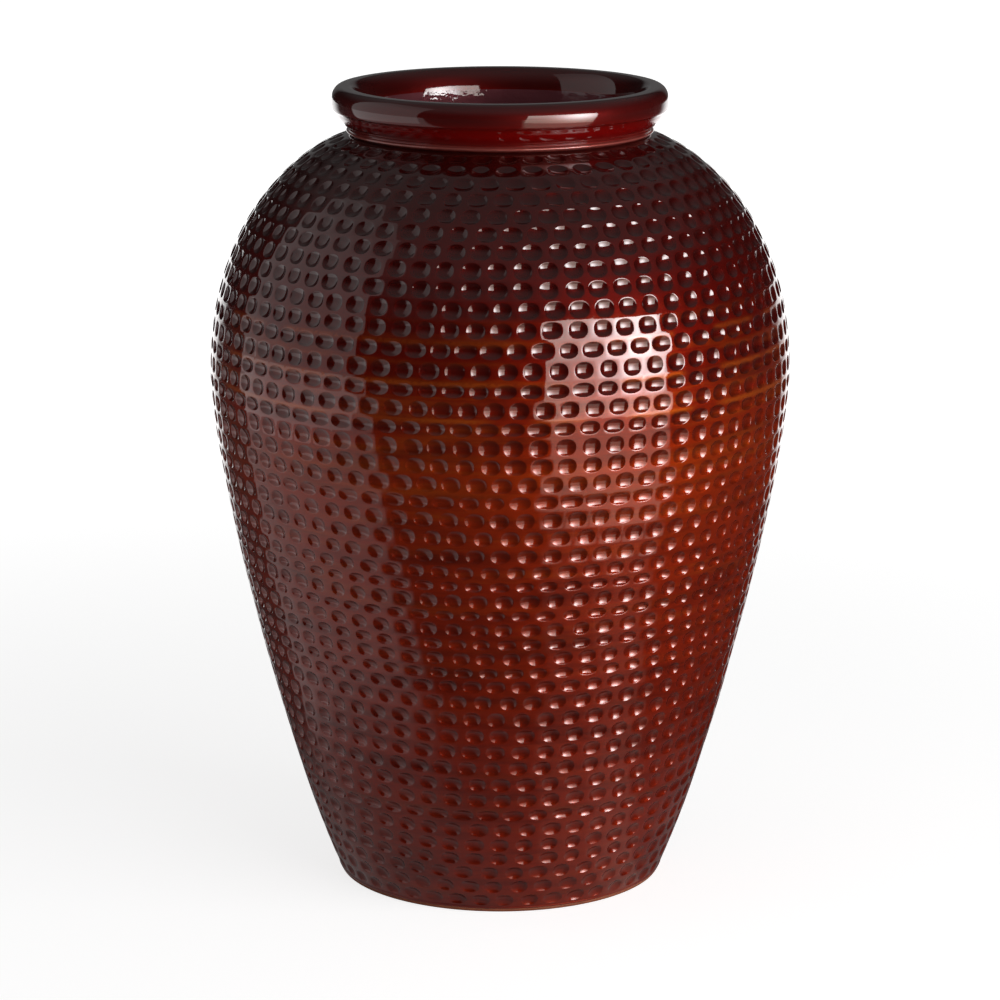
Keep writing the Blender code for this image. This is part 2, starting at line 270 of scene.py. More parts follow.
class Row:
    """One row of dimples and the cells that they sit in."""

    def __init__(self, number, low, high, arc_low, arc_high):
        self.number = number
        self.low = low
        self.high = high
        self.arc_low = arc_low  # where the row's own faces start
        self.arc_high = arc_high
        self.middle = (low + high) / 2
        shares = np.linspace(0, 1, CELL + 1)
        self.line_points = [radius_and_height(arc_low + (arc_high - arc_low) * share) for share in shares]
        self.radius = float(radius_and_height(self.middle)[0])
        count = round(math.tau * self.radius / DIMPLE_PITCH) + int(rng.integers(-1, 1))
        self.count = count
        self.start = rng.uniform(0, math.tau)
        half_height = (high - low - ROW_GAP) / 2
        deep = np.interp(self.middle, *DEPTH_ALONG_WALL)
        small = np.interp(self.middle, *SIZE_ALONG_WALL)
        self.depth = DIMPLE_DEPTH * deep * rng.uniform(*DEPTH_SPREAD, count)
        self.half_width = DIMPLE_HALF_WIDTH * small * rng.uniform(*WIDTH_SPREAD, count)
        self.half_height = half_height * DIMPLE_FILL * small * rng.uniform(*HEIGHT_SPREAD, count)
        self.shift_x = rng.normal(0, SIDE_SHIFT, count).clip(-SIDE_SHIFT_LIMIT, SIDE_SHIFT_LIMIT)
        self.shift_y = rng.normal(0, UP_SHIFT, count).clip(-UP_SHIFT_LIMIT, UP_SHIFT_LIMIT)
        self.lean_x = rng.normal(0, BOTTOM_LEAN, count)
        self.lean_y = rng.normal(0, BOTTOM_LEAN, count)
        self.drag = max(0.0, rng.normal(0.0, PLAIN_ROW_DRAG))
        self.drag_at = rng.uniform(*RIDGE_PLACE) * (high - low)
        if number in SMEARED_ROWS:
            self.drag = rng.uniform(*SMEARED_DRAG)
            wide = self.half_width * rng.uniform(*SMEARED_WIDENING, count)
            self.half_width = np.minimum(wide, JOINED_HALF_WIDTH)
            self.half_height *= SMEARED_FLATTENING
            self.shift_x *= SMEARED_SHIFT


Section = namedtuple("Section", "name slot low_seam high_seam first last spacing")


def wall_sections():
    """The thrown sections from the foot up, with their seams and the reach of their rows."""
    crown_seam = NECK_ARC - CROWN_WALL_LENGTH
    seams = [
        0.0,
        FOOT_WALL_LENGTH,
        FOOT_WALL_LENGTH + LOWER_WALL_LENGTH,
        BELLY_ARC - BELLY_SEAM_BELOW,
        BELLY_ARC - MIDDLE_SEAM_BELOW,
        BELLY_ARC + SHOULDER_SEAM_ABOVE,
        crown_seam - SLOPE_WALL_LENGTH,
        crown_seam,
        NECK_ARC,
    ]
    sections = []
    for (name, slot), low_seam, high_seam in zip(WALL_SLOTS.items(), seams, seams[1:]):
        first = low_seam + FOOT_MARGIN if name == "foot_wall" else low_seam
        last = high_seam - NECK_MARGIN if name == "crown_wall" else high_seam
        spacing = WAIST_ROW_SPACING if name == "waist_wall" else ROW_SPACING
        sections.append(Section(name, slot, low_seam, high_seam, first, last, spacing))
    return sections


def row_plan(sections):
    """Rows of every section, from the foot up."""
    plan = {}
    number = 0
    for section in sections:
        count = max(1, round((section.last - section.first) / section.spacing))
        edges = np.linspace(section.first, section.last, count + 1)
        if section.name == "waist_wall":
            edges[1:-1] += np.where(np.arange(1, count) % 2, WAIST_PAIRING, -WAIST_PAIRING) / 2
        edges[1:-1] += rng.uniform(-ROW_WANDER, ROW_WANDER, count - 1) / 2
        rows = []
        for index in range(count):
            low, high = edges[index], edges[index + 1]
            arc_low = low if index == 0 else low + ROW_GAP / 2
            arc_high = high if index == count - 1 else high - ROW_GAP / 2
            rows.append(Row(number, low, high, arc_low, arc_high))
            number += 1
        plan[section.name] = rows
    every = [row for rows in plan.values() for row in rows]
    for row in every:
        row.neighbours = every[max(0, row.number - 1):row.number + 2]
    return plan


def dimple_depth(row, dimple, x, y):
    """Depth under the wall at x, y from the middle of a dimple's cell, and its share of the full depth."""
    across = (x - row.shift_x[dimple]) / row.half_width[dimple]
    up = (y - row.shift_y[dimple]) / row.half_height[dimple]
    power = DIMPLE_SQUARENESS
    reach = (np.abs(across) ** power + np.abs(up) ** power) ** (1 / power)
    bowl = 1.0 - reach**DIMPLE_FLATNESS
    soft = (bowl + DIMPLE_EDGE) ** 2 / (4 * DIMPLE_EDGE)
    bowl = np.where(bowl > DIMPLE_EDGE, bowl, np.where(bowl < -DIMPLE_EDGE, 0.0, soft))
    lean = 1.0 + row.lean_x[dimple] * across + row.lean_y[dimple] * up
    return bowl * row.depth[dimple] * lean, bowl


def ridge_share(rows, turn, arc):
    """Thin ridges that were dragged along the wall over a row of dimples, from 0 to about 1."""
    total = np.zeros_like(turn)
    for row in rows:
        amount = np.clip(waves(DRAG_WAVES, turn, row.middle) + DRAG_USUAL, 0.0, 1.0) * row.drag
        total += amount * np.exp(-(((arc - row.middle - row.drag_at) / RIDGE_WIDTH) ** 2))
    return total


def wall_lift(row, dimple, turn, arc, x, y):
    """How far the skin lies outside the plain wall, and the shares of dimple and ridge there."""
    depth, bowl = dimple_depth(row, dimple, x, y)
    ridge = ridge_share(row.neighbours, turn, arc)
    ridge_height = ridge * RIDGE_RISE * (RIDGE_ON_WALL + (1 - RIDGE_ON_WALL) * bowl)
    hand = (waves(HAND_WAVES, turn, arc) - HAND_SINK) * HAND_WANDER
    return ridge_height + hand - SKIN_SINK - depth, bowl, ridge


def cell_places(column, line):
    """Which ring of its cell a vertex lies on, and its direction round the dimple's middle."""
    half = CELL // 2
    i, j = column - half, line - half
    ring = np.maximum(np.abs(i), np.abs(j))
    safe = np.maximum(ring, 1)
    eighth = math.pi / 4
    direction = np.where(
        np.abs(i) >= np.abs(j),
        np.where(i >= 0, eighth * j / safe, math.pi - eighth * j / safe),
        np.where(j >= 0, 2 * eighth - eighth * i / safe, -2 * eighth + eighth * i / safe),
    )
    return ring, direction


def place_skin(row, turn, line):
    """Final points, normals, dimple shares and ridge shares of one row's vertices."""
    half = CELL // 2
    pitch = math.tau / row.count
    step = np.round(((turn - row.start) % math.tau) / (pitch / CELL)).astype(int) % (row.count * CELL)
    dimple, column = step // CELL, step % CELL
    ring, direction = cell_places(column, line)
    power = DIMPLE_SQUARENESS
    rounding = (np.abs(np.cos(direction)) ** power + np.abs(np.sin(direction)) ** power) ** (-1 / power)
    reach = np.array(RING_SHARES + (1.0,))[ring]  # the outermost ring is the cell's edge, placed below
    inside_x = row.shift_x[dimple] + row.half_width[dimple] * reach * rounding * np.cos(direction)
    inside_y = row.shift_y[dimple] + row.half_height[dimple] * reach * rounding * np.sin(direction)
    edge_x = (column - half) / CELL * (pitch * row.radius)
    edge_y = row.arc_low + (row.arc_high - row.arc_low) * (line / CELL) - row.middle
    x = np.where(ring == half, edge_x, inside_x)
    y = np.where(ring == half, edge_y, inside_y)
    middle_turn = row.start + (dimple + 0.5) * pitch

    def at(dx, dy):
        xx, yy = x + dx, y + dy
        round_ = middle_turn + xx / row.radius
        lift, bowl, ridge = wall_lift(row, dimple, round_, row.middle + yy, xx, yy)
        return skin_points(round_, row.middle + yy, lift), bowl, ridge

    points, bowl, ridge = at(0.0, 0.0)
    across = at(SLOPE_STEP, 0.0)[0] - at(-SLOPE_STEP, 0.0)[0]
    upward = at(0.0, SLOPE_STEP)[0] - at(0.0, -SLOPE_STEP)[0]
    normals = np.cross(across, upward)
    normals /= np.linalg.norm(normals, axis=1)[:, None]
    return points, normals, bowl, ridge


# Mesh helpers

def carry_on(bm, edges, radius, height):
    """Carry the surface on from a circle of edges to another circle."""
    new = bmesh.ops.extrude_edge_only(bm, edges=edges)["geom"]
    line = bm.verts.layers.int["line"]
    for vert in (element for element in new if isinstance(element, bmesh.types.BMVert)):
        vert.co.xy = vert.co.xy.normalized() * radius
        vert.co.z = height
        vert[line] = -1
    return [element for element in new if isinstance(element, bmesh.types.BMEdge)]


def ring_band(bm, row, row_layer, line_layer):
    """The cells of one row, still plain: a strip of faces bent round the axis and closed."""
    across = row.count * CELL
    verts = bmesh.ops.create_grid(bm, x_segments=across, y_segments=CELL, size=1.0)["verts"]
    for vert in verts:
        turn = row.start + (vert.co.x + 1) * math.pi
        line = round((vert.co.y + 1) / 2 * CELL)
        radius, height = row.line_points[line]
        vert.co = (radius * math.cos(turn), radius * math.sin(turn), height)
        vert[row_layer] = row.number
        vert[line_layer] = line
    bmesh.ops.remove_doubles(bm, verts=verts, dist=0.001)


def border_loops(bm, row_layer, line_layer):
    """Open circles of edges, by row and line."""
    loops = {}
    for edge in bm.edges:
        if edge.is_boundary:
            vert = edge.verts[0]
            loops.setdefault((vert[row_layer], vert[line_layer]), []).append(edge)
    return loops


def finish_piece(bm, name, materials):
    bmesh.ops.scale(bm, vec=(MM, MM, MM), verts=bm.verts)
    mesh = bpy.data.meshes.new(name)
    bm.to_mesh(mesh)
    bm.free()
    for material in materials:
        mesh.materials.append(material)
    mesh.shade_smooth()
    piece = bpy.data.objects.new(name, mesh)
    bpy.context.scene.collection.objects.link(piece)
    return piece


def take_place(piece, node):
    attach(piece, "root")
    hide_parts(node)


def dimpled_section(name, rows, below, above, materials):
    """A closed ring of wall: dimpled outside, smooth inside.

    below and above are the (radius, height) points of its lower and upper edge, both from the
    outside in. The last of each lies on the inside of the wall.
    """
    bm = bmesh.new()
    row_layer = bm.verts.layers.int.new("row")
    line_layer = bm.verts.layers.int.new("line")
    for row in rows:
        ring_band(bm, row, row_layer, line_layer)
    loops = border_loops(bm, row_layer, line_layer)
    for low, high in zip(rows, rows[1:]):
        bmesh.ops.bridge_loops(bm, edges=loops[(low.number, CELL)] + loops[(high.number, 0)])
    bottom = loops[(rows[0].number, 0)]
    for point in below:
        bottom = carry_on(bm, bottom, *point)
    top = loops[(rows[-1].number, CELL)]
    for point in above:
        top = carry_on(bm, top, *point)
    low_arc, high_arc = rows[0].low, rows[-1].high
    count = max(2, round((high_arc - low_arc) / INSIDE_STEP))
    for share in np.linspace(1.0, 0.0, count + 1)[1:-1]:
        top = carry_on(bm, top, *radius_and_height(low_arc + (high_arc - low_arc) * share, -WALL))
    bmesh.ops.bridge_loops(bm, edges=top + bottom)
    bmesh.ops.recalc_face_normals(bm, faces=bm.faces)
    for face in bm.faces:
        middle = face.calc_center_median()
        outside = np.interp(middle.z, POINTS[:, 1], POINTS[:, 0])
        face.material_index = int(middle.xy.length < outside - INSIDE_STARTS)
    piece = finish_piece(bm, name, materials)
    shape_skin(piece.data, rows)
    return piece


def shape_skin(mesh, rows):
    """Move the dimpled side's vertices to their places and give them their true normals."""
    size = len(mesh.vertices)
    places = np.zeros(size * 3)
    mesh.vertices.foreach_get("co", places)
    places = places.reshape(-1, 3) / MM
    row_number = np.zeros(size, int)
    line = np.zeros(size, int)
    mesh.attributes["row"].data.foreach_get("value", row_number)
    mesh.attributes["line"].data.foreach_get("value", line)
    turn = np.arctan2(places[:, 1], places[:, 0]) % math.tau
    normals = np.zeros((size, 3))
    dimple = np.zeros(size)
    ridge = np.zeros(size)
    for row in rows:
        mine = (row_number == row.number) & (line >= 0)
        places[mine], normals[mine], dimple[mine], ridge[mine] = place_skin(row, turn[mine], line[mine])
    mesh.vertices.foreach_set("co", places.ravel() * MM)
    mesh.update()
    for name, values in (("dimple", dimple), ("ridge", ridge)):
        mesh.attributes.new(name, "FLOAT", "POINT").data.foreach_set("value", values)
    mesh.normals_split_custom_set_from_vertices(normals)


def turned_piece(name, profile, materials, closed=True, inside_from=None):
    """A turned piece from (radius, height) points.

    Faces nearer the axis than inside_from get the second material.
    """
    bm = bmesh.new()
    verts = [bm.verts.new((radius, 0.0, height)) for radius, height in profile]
    pairs = list(zip(verts, verts[1:]))
    if closed:
        pairs.append((verts[-1], verts[0]))
    edges = [bm.edges.new(pair) for pair in pairs]
    bmesh.ops.spin(
        bm, geom=verts + edges, cent=(0, 0, 0), axis=(0, 0, 1), angle=math.tau,
        steps=TURN_STEPS, use_merge=True, use_duplicate=False,
    )
    bmesh.ops.remove_doubles(bm, verts=bm.verts, dist=0.01)
    bmesh.ops.recalc_face_normals(bm, faces=bm.faces)
    if inside_from:
        for face in bm.faces:
            face.material_index = int(face.calc_center_median().xy.length < inside_from)
    return finish_piece(bm, name, materials)


def arc_points(centre, across, up, start, turn, steps):
    """Points of an elliptical arc about a (radius, height) centre, without its first point."""
    angles = [start + turn * step / steps for step in range(1, steps + 1)]
    return [(centre[0] + across * math.cos(a), centre[1] + up * math.sin(a)) for a in angles]


# The jar's pieces

def build_wall(materials):
    sections = wall_sections()
    plan = row_plan(sections)
    for section in sections:
        below = [radius_and_height(section.low_seam, -WALL)]
        above = [radius_and_height(section.high_seam, -WALL)]
        if section.name == "foot_wall":
            below = foot_edge()
        if section.name == "crown_wall":
            above = neck_edge(section.last)
        piece = dimpled_section(section.name + "_glazed", plan[section.name], below, above, materials)
        take_place(piece, section.name)


def neck_edge(last_row_end):
    """From the last row up to the seat of the collar, then in and down."""
    margin = [
        radius_and_height(last_row_end + NECK_MARGIN * share, -SKIN_SINK * (1 - share))
        for share in (0.3, 0.6, 0.85, 1.0)
    ]
    inside = radius_and_height(NECK_ARC, -WALL)
    return [*margin, (inside[0], NECK_HEIGHT), inside]


def foot_edge():
    """From the first row down to the clay band, then in to the floor."""
    band_top = FOOT_BAND + SLIP
    ring_top = FOOT_RING_HEIGHT + SLIP
    floor_top = ring_top + FLOOR_THICKNESS
    low = np.interp(band_top, POINTS[:, 1], ARCS)
    low_radius = float(radius_and_height(low)[0])
    ledge = low_radius - FOOT_LEDGE
    inside = inner_radius(floor_top)
    return [
        radius_and_height(low + GLAZE_TURNS_IN),
        radius_and_height(low + GLAZE_EDGE_RISE),
        (low_radius - GLAZE_EDGE_SETBACK, band_top),
        (ledge, band_top),
        (ledge, ring_top),
        (inside - FLOOR_SEAT_SETBACK, ring_top),
        (inside, floor_top),
    ]


def build_foot_ring(clay):
    """Down the clay band that shows, round its edge, and in under the foot."""
    band_radius, _ = radius_and_height(np.interp(FOOT_BAND, POINTS[:, 1], ARCS))
    inside = FOOT_RADIUS - FOOT_RING_WIDTH
    edge = FOOT_RING_EDGE
    top = FOOT_BAND + SLIP
    profile = [
        (band_radius - FOOT_LEDGE, top),
        (band_radius - 0.1, top),
        (band_radius, top - 0.25),
        (FOOT_RADIUS + 0.2, edge * 1.4),
        (FOOT_RADIUS - edge * 0.3, edge * 0.4),
        (FOOT_RADIUS - edge * 1.4, 0.0),
        (inside + edge, 0.0),
        (inside, edge),
        (inside, FOOT_RING_HEIGHT),
        (band_radius - FOOT_LEDGE, FOOT_RING_HEIGHT),
    ]
    take_place(turned_piece("clay_foot_ring", profile, [clay]), "foot_ring")


def build_floor_slab(inner_glaze):
    bottom = FOOT_RING_HEIGHT + SLIP
    top = bottom + FLOOR_THICKNESS
    outer = inner_radius(top) - SLIP
    upper = []
    for share in np.linspace(0, 1, FLOOR_CIRCLES):
        ripple = FLOOR_RIPPLE * (1 - math.cos(share * FLOOR_RIPPLE_TURN)) / 2
        upper.append((outer * share, top - ripple))
    profile = upper + [(inner_radius(bottom) - SLIP, bottom), (0.0, bottom)]
    piece = turned_piece("floor_inside", profile, [inner_glaze], closed=False)
    take_place(piece, "floor_slab")


def build_collar(glaze, inner_glaze):
    bore = NECK_RADIUS - COLLAR_WALL
    seat = NECK_HEIGHT
    top = seat + SLIP * 2 + COLLAR_HEIGHT
    spigot, foot = radius_and_height(NECK_ARC, -WALL)
    bead_middle = (NECK_RADIUS, seat + SLIP + BEAD_HEIGHT / 2)
    bead = arc_points(bead_middle, BEAD_RISE, BEAD_HEIGHT / 2, -math.pi / 2, BEAD_SWEEP, BEAD_STEPS)
    profile = [
        (spigot, foot),
        (spigot, seat),
        (NECK_RADIUS, seat),
        (NECK_RADIUS, seat + SLIP),
        *bead,
        (NECK_RADIUS + UNDERSIDE_REACH, top),
        (bore, top),
        (bore, foot + SPIGOT_BEVEL_HEIGHT),
        (bore + SPIGOT_BEVEL_WIDTH, foot),
    ]
    inner_edge = bore + COLLAR_INNER_GLAZE
    piece = turned_piece("collar_with_bead", profile, [glaze, inner_glaze], inside_from=inner_edge)
    take_place(piece, "neck_collar")


def build_rim(glaze, inner_glaze):
    foot = NECK_HEIGHT + SLIP * 2 + COLLAR_HEIGHT
    bore = NECK_RADIUS - COLLAR_WALL
    crest = foot + RIM_HEIGHT
    widest_radius = NECK_RADIUS + RIM_OVERHANG
    crest_radius = widest_radius - CREST_SETBACK
    crease_radius = widest_radius - CREASE_SETBACK
    mouth_radius = bore + MOUTH_FLARE
    widest = crest - RIM_ROLL_DROP
    crease = crest - CREASE_DROP
    mouth_roll = crest - MOUTH_ROLL_DROP
    roll_centre = widest_radius - ROLL_WIDTH
    quarter = math.pi / 2
    crest_top = [
        (crest_radius + (roll_centre - crest_radius) * share, crest)
        for share in (0.0, 0.35, 0.7, 1.0)
    ]
    outer_roll = arc_points((roll_centre, widest), ROLL_WIDTH, RIM_ROLL_DROP, quarter, -quarter, 20)
    under = arc_points((crease_radius, widest), CREASE_SETBACK, widest - crease, 0.0, -quarter, 8)
    under_top = Vector((crease_radius - CREASE_DEPTH, crease - CREASE_DEPTH))
    under_foot = Vector((NECK_RADIUS + UNDERSIDE_REACH, foot))
    slope = (under_foot - under_top).normalized()
    bulge = Vector((-slope.y, slope.x)) * UNDERSIDE_BULGE
    steps = 12
    underside = [
        under_top.lerp(under_foot, step / steps) + bulge * math.sin(math.pi * step / steps)
        for step in range(steps + 1)
    ]
    bore_wall = [
        (bore + (mouth_radius - bore) * share, foot + (mouth_roll - foot) * share)
        for share in np.linspace(0, 1, steps)
    ]
    mouth_centre = (crest_radius, mouth_roll)
    mouth = arc_points(mouth_centre, crest_radius - mouth_radius, MOUTH_ROLL_DROP, math.pi, -quarter, 14)
    profile = [*crest_top, *outer_roll, *under, *underside, *bore_wall, *mouth[:-1]]
    inner_edge = mouth_radius + MOUTH_INNER_GLAZE
    piece = turned_piece("rolled_rim_glazed", profile, [glaze, inner_glaze], inside_from=inner_edge)
    take_place(piece, "rolled_rim")


# Materials

def linear(red, green, blue):
    """A colour that is written as 0 to 255 on a screen."""
    values = [value / 255 for value in (red, green, blue)]
    return (*[v / 12.92 if v <= 0.04045 else ((v + 0.055) / 1.055) ** 2.4 for v in values], 1.0)


def grey(level):
    return (level, level, level, 1.0)


def add(tree, kind, settings=None, **inputs):
    """A node with its settings and its inputs, each a value or another node's socket.

    An input is given by its name, or as i0, i1 and so on by its place.
    """
    node = tree.nodes.new(kind)
    for key, value in (settings or {}).items():
        setattr(node, key, value)
    for key, value in inputs.items():
        by_place = key[0] == "i" and key[1:].isdigit()
        socket = node.inputs[int(key[1:]) if by_place else key]
        if isinstance(value, bpy.types.NodeSocket):
            tree.links.new(value, socket)
        else:
            socket.default_value = value
    return node


def ramp(tree, value, stops):
    node = add(tree, "ShaderNodeValToRGB", None, Fac=value)
    elements = node.color_ramp.elements
    while len(elements) < len(stops):
        elements.new(0.5)
    for element, (position, colour) in zip(elements, stops):
        element.position = position
        element.color = colour
    return node.outputs["Color"]


def math_node(tree, operation, a, b=0.0, clamp=False):
    node = add(tree, "ShaderNodeMath", {"operation": operation, "use_clamp": clamp}, i0=a, i1=b)
    return node.outputs[0]


def times(tree, a, b, clamp=False):
    return math_node(tree, "MULTIPLY", a, b, clamp)


def plus(tree, a, b):
    return math_node(tree, "ADD", a, b)


def level_between(tree, value, low, high, at_low=0.0, at_high=1.0, soft=True):
    """A level that runs from at_low to at_high as the value goes from low to high."""
    settings = {"interpolation_type": "SMOOTHSTEP" if soft else "LINEAR"}
    places = {"i0": value, "i1": low, "i2": high, "i3": at_low, "i4": at_high}
    return add(tree, "ShaderNodeMapRange", settings, **places).outputs[0]


def mix_colour(tree, factor, a, b):
    node = add(tree, "ShaderNodeMix", {"data_type": "RGBA"}, i0=factor, i6=a, i7=b)
    return node.outputs[2]


def new_group(name, inputs, outputs):
    tree = bpy.data.node_groups.new(name, "ShaderNodeTree")
    for label, kind, value in inputs:
        socket = tree.interface.new_socket(name=label, in_out="INPUT", socket_type=kind)
        socket.default_value = value
    for label, kind in outputs:
        tree.interface.new_socket(name=label, in_out="OUTPUT", socket_type=kind)
    return tree, tree.nodes.new("NodeGroupInput").outputs, tree.nodes.new("NodeGroupOutput").inputs


def stretched_noise(tree, scale, stretch, detail=3.0, roughness=0.55):
    """Noise on the piece's own coordinates, drawn out sideways so that it runs round the jar."""
    place = add(tree, "ShaderNodeTexCoord").outputs["Object"]
    mapping = add(tree, "ShaderNodeMapping", None, Vector=place, Scale=(1.0, 1.0, stretch))
    looks = {"Scale": scale, "Detail": detail, "Roughness": roughness}
    return add(tree, "ShaderNodeTexNoise", None, Vector=mapping.outputs[0], **looks).outputs["Fac"]


def noise_about_zero(tree, scale, stretch, amount):
    return times(tree, math_node(tree, "SUBTRACT", stretched_noise(tree, scale, stretch), 0.5), amount)


def height_share(tree):
    """Height over the floor as a share of the jar's, from 0 to 1."""
    place = add(tree, "ShaderNodeTexCoord").outputs["Object"]
    height = add(tree, "ShaderNodeSeparateXYZ", None, Vector=place).outputs["Z"]
    return math_node(tree, "DIVIDE", height, JAR_HEIGHT)


def glaze_tones_group():
    """Colour of the glaze by height: brown foot, orange glow under the belly, purple shoulder."""
    tree, given, result = new_group(
        "glaze_tones",
        [("Wander", "NodeSocketFloat", 0.06), ("Streaks", "NodeSocketFloat", 1.0)],
        [("Color", "NodeSocketColor")],
    )
    share = plus(tree, height_share(tree), noise_about_zero(tree, 7.0, 1.8, given["Wander"]))
    tones = ramp(tree, share, [
        (0.0, linear(137, 34, 12)),  # foot
        (0.26, linear(137, 33, 11)),
        (0.46, linear(139, 35, 9)),
        (0.59, linear(150, 42, 6)),  # glow under the belly
        (0.645, linear(132, 30, 5)),
        (0.72, linear(101, 15, 6)),  # shoulder
        (0.80, linear(88, 11, 6)),
        (0.93, linear(62, 11, 9)),  # crown
    ])
    streaks = ramp(tree, stretched_noise(tree, 11.0, 13.0, 4.0, 0.6), [(0.5, BLACK), (0.72, WHITE)])
    streaky = ramp(tree, share, [(0.3, grey(0.15)), (0.52, grey(0.6)), (0.68, grey(0.7)), (0.78, BLACK)])
    amount = times(tree, times(tree, streaks, streaky), given["Streaks"], clamp=True)
    glowing = mix_colour(tree, amount, tones, linear(158, 66, 14))
    thick = ramp(tree, stretched_noise(tree, 15.0, 9.0, 4.0, 0.6), [(0.3, grey(0.55)), (0.55, BLACK)])
    tree.links.new(mix_colour(tree, thick, glowing, linear(58, 12, 9)), result["Color"])
    return tree


def thinning_pooling_and_shade_group():
    """The glaze gathers in the dimples and thins over the ridges; the dimples' darkening is also painted
    shade, darkest on their sloping sides.
    """
    tree, given, result = new_group(
        "thinning_pooling_and_shade",
        [
            ("Color", "NodeSocketColor", WHITE),
            ("Thin", "NodeSocketColor", WHITE),
            ("Gather", "NodeSocketFloat", 1.0),
        ],
        [("Color", "NodeSocketColor")],
    )
    dimple = add(tree, "ShaderNodeAttribute", {"attribute_name": "dimple"}).outputs["Fac"]
    ridge = add(tree, "ShaderNodeAttribute", {"attribute_name": "ridge"}).outputs["Fac"]
    pooling_and_shade = ramp(tree, dimple, [(0.0, BLACK), (0.1, grey(0.5)), (0.5, grey(0.62)), (1.0, grey(0.4))])
    pooling_and_shade_amount = times(tree, pooling_and_shade, given["Gather"], clamp=True)
    # Darkening in the dimples: partly glaze pooled there, partly painted shade.
    pooled_and_shaded = mix_colour(tree, pooling_and_shade_amount, given["Color"], linear(52, 9, 8))
    thin = times(tree, ridge, RIDGE_THINNING, clamp=True)
    tree.links.new(mix_colour(tree, thin, pooled_and_shaded, given["Thin"]), result["Color"])
    return tree


def hand_surface_group():
    """Unevenness of a hand-dipped glaze, as a height, and the patches that are less glossy."""
    tree, given, result = new_group(
        "hand_surface",
        [("Coarse", "NodeSocketFloat", 1.0), ("Fine", "NodeSocketFloat", 0.25)],
        [("Height", "NodeSocketFloat"), ("Patches", "NodeSocketFloat")],
    )
    coarse = times(tree, stretched_noise(tree, 140.0, 1.6, 2.0), given["Coarse"])
    fine = times(tree, stretched_noise(tree, 900.0, 1.0, 2.0), given["Fine"])
    tree.links.new(plus(tree, coarse, fine), result["Height"])
    tree.links.new(stretched_noise(tree, 30.0, 2.0, 3.0), result["Patches"])
    return tree


def new_material(name):
    """A new material, its node tree and the tree's own shader."""
    material = bpy.data.materials.new(name)
    material.use_nodes = True
    return material, material.node_tree, material.node_tree.nodes["Principled BSDF"]


def uneven(tree, height, strength, depth):
    """The slope of an uneven surface, from its height as a share of a depth in millimetres."""
    node = add(tree, "ShaderNodeBump", None, Strength=strength, Distance=depth * MM, Height=height)
    return node.outputs[0]


def glazed(name, groups, colour_of, roughness=(0.38, 0.48), glint=GLINT, bump=0.1, bump_depth=0.25):
    """A clear glassy layer over coloured glaze that glints softly.

    colour_of draws the colour in the material's own tree.
    """
    material, tree, shader = new_material(name)
    shader.inputs["Metallic"].default_value = glint
    shader.inputs["Specular IOR Level"].default_value = 0.0
    shader.inputs["Coat Weight"].default_value = 1.0
    shader.inputs["Coat IOR"].default_value = COAT_IOR
    shader.inputs["Coat Roughness"].default_value = COAT_ROUGHNESS
    tree.links.new(colour_of(tree), shader.inputs["Base Color"])
    surface = add(tree, "ShaderNodeGroup", {"node_tree": groups["hand_surface"]})
    gloss = level_between(tree, surface.outputs["Patches"], 0.3, 0.7, *roughness, soft=False)
    tree.links.new(gloss, shader.inputs["Roughness"])
    ripple = stretched_noise(tree, 150.0, 1.6, 2.0)
    tree.links.new(uneven(tree, surface.outputs["Height"], bump, bump_depth), shader.inputs["Normal"])
    tree.links.new(uneven(tree, ripple, bump, bump_depth), shader.inputs["Coat Normal"])
    return material


def bare_clay():
    material, tree, shader = new_material("bare_clay_look")
    shader.inputs["Roughness"].default_value = 0.75
    blotches = stretched_noise(tree, 160.0, 2.0, 4.0)
    colour = mix_colour(tree, blotches, linear(130, 62, 34), linear(168, 92, 56))
    tree.links.new(colour, shader.inputs["Base Color"])
    grain = stretched_noise(tree, 1500.0, 1.0)
    tree.links.new(uneven(tree, grain, 0.4, 0.2), shader.inputs["Normal"])
    return material


